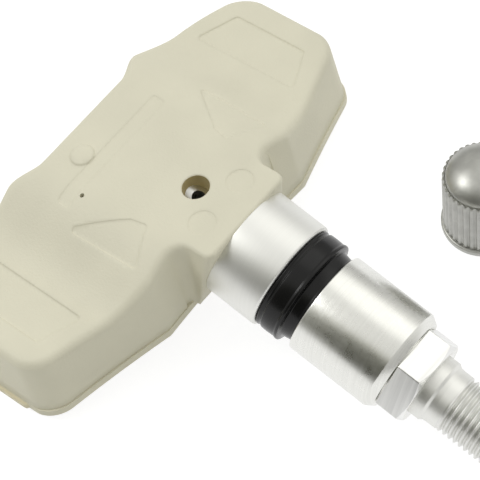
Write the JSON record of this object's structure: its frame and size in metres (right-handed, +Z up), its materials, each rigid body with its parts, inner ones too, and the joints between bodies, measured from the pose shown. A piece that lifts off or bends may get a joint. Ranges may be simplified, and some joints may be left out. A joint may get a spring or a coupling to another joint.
{
  "type": "tyre pressure sensor",
  "caption": "Tyre pressure sensor: winged plastic case with a clamp-in metal valve stem, rubber grommet, sleeve nut and valve core, its knurled cap standing beside it.",
  "frame": {"origin": "under the middle of the whole, on the surface that the sensor and its cap rest on", "axes": "+X towards the valve's tip, level; +Y across the wings; +Z up from the surface, with the sensor lying as in the picture"},
  "size_m": [0.072, 0.0606, 0.0192],
  "materials": {
    "case_plastic": "satin moulded, fine grain",
    "cover_plastic": "satin moulded, slightly yellow",
    "potting": "cast resin",
    "board": "solder mask",
    "cell_steel": "bright rolled",
    "tab_steel": "rolled strip",
    "chip_black": "moulded epoxy",
    "silicone": "matte",
    "can_steel": "bright",
    "ferrite": "dull",
    "copper_wire": "enamelled",
    "brass": "turned",
    "ceramic_parts": "fired",
    "aluminium_satin": "satin turned",
    "aluminium_bright": "polished",
    "washer_steel": "bright",
    "rubber_black": "matte to semi-gloss",
    "gasket_red": "hard seal",
    "spring_steel": "drawn wire",
    "cap_metal": "satin grey metallic"
  },
  "bodies": {
    "housing": {"case_shell": "case_plastic", "bottom_cover": "cover_plastic", "potting_fill": "potting", "circuit_board": "board", "battery_cell": "cell_steel", "battery_plus_tab": "tab_steel", "battery_minus_tab": "tab_steel", "pressure_chip": "chip_black", "inlet_seal": "silicone", "processor_chip": "chip_black", "crystal_can": "can_steel", "receiver_coil": "ferrite", "antenna_coil": "copper_wire", "roll_switch": "brass", "small_parts": "ceramic_parts", "valve_stem": "aluminium_satin", "grommet": "rubber_black", "valve_cap": "cap_metal", "cap_seal": "rubber_black"},
    "washer": {"thrust_washer": "washer_steel"},
    "nut": {"clamp_nut": "aluminium_bright"},
    "core": {"core_barrel": "brass", "core_gasket": "gasket_red", "core_spring": "spring_steel"},
    "plug": {"core_plug": "brass"},
    "pin": {"core_pin": "brass", "core_cup": "brass", "core_seal": "rubber_black"}
  },
  "joints": [
    {"name": "washer_travel", "type": "slide", "parent": "housing", "child": "washer", "axis": [0.9822, 0, -0.1879], "range_m": [0, 0.00635]},
    {"name": "nut_turn", "type": "hinge", "parent": "washer", "child": "nut", "pos_m": [0.0048, -0.00047, 0.00953], "axis": [0.9822, 0, -0.1879], "range_deg": [0, 2880]},
    {"name": "core_travel", "type": "slide", "parent": "housing", "child": "core", "axis": [0.9822, 0, -0.1879], "range_m": [0, 0.00352]},
    {"name": "core_turn", "type": "hinge", "parent": "core", "child": "plug", "pos_m": [0.03338, -0.00047, 0.00406], "axis": [0.9822, 0, -0.1879], "range_deg": [0, 1800]},
    {"name": "pin_press", "type": "slide", "parent": "core", "child": "pin", "axis": [-0.9822, 0, 0.1879], "range_m": [0, 0.0012], "stiffness_N_per_m": 800, "springref_m": -0.001, "deforming": ["core_spring"]}
  ],
  "couplings": [
    {"joint": "nut_turn", "follows": "washer_travel", "rad_per_m": 7913.3},
    {"joint": "core_turn", "follows": "core_travel", "rad_per_m": 8899.7}
  ]
}
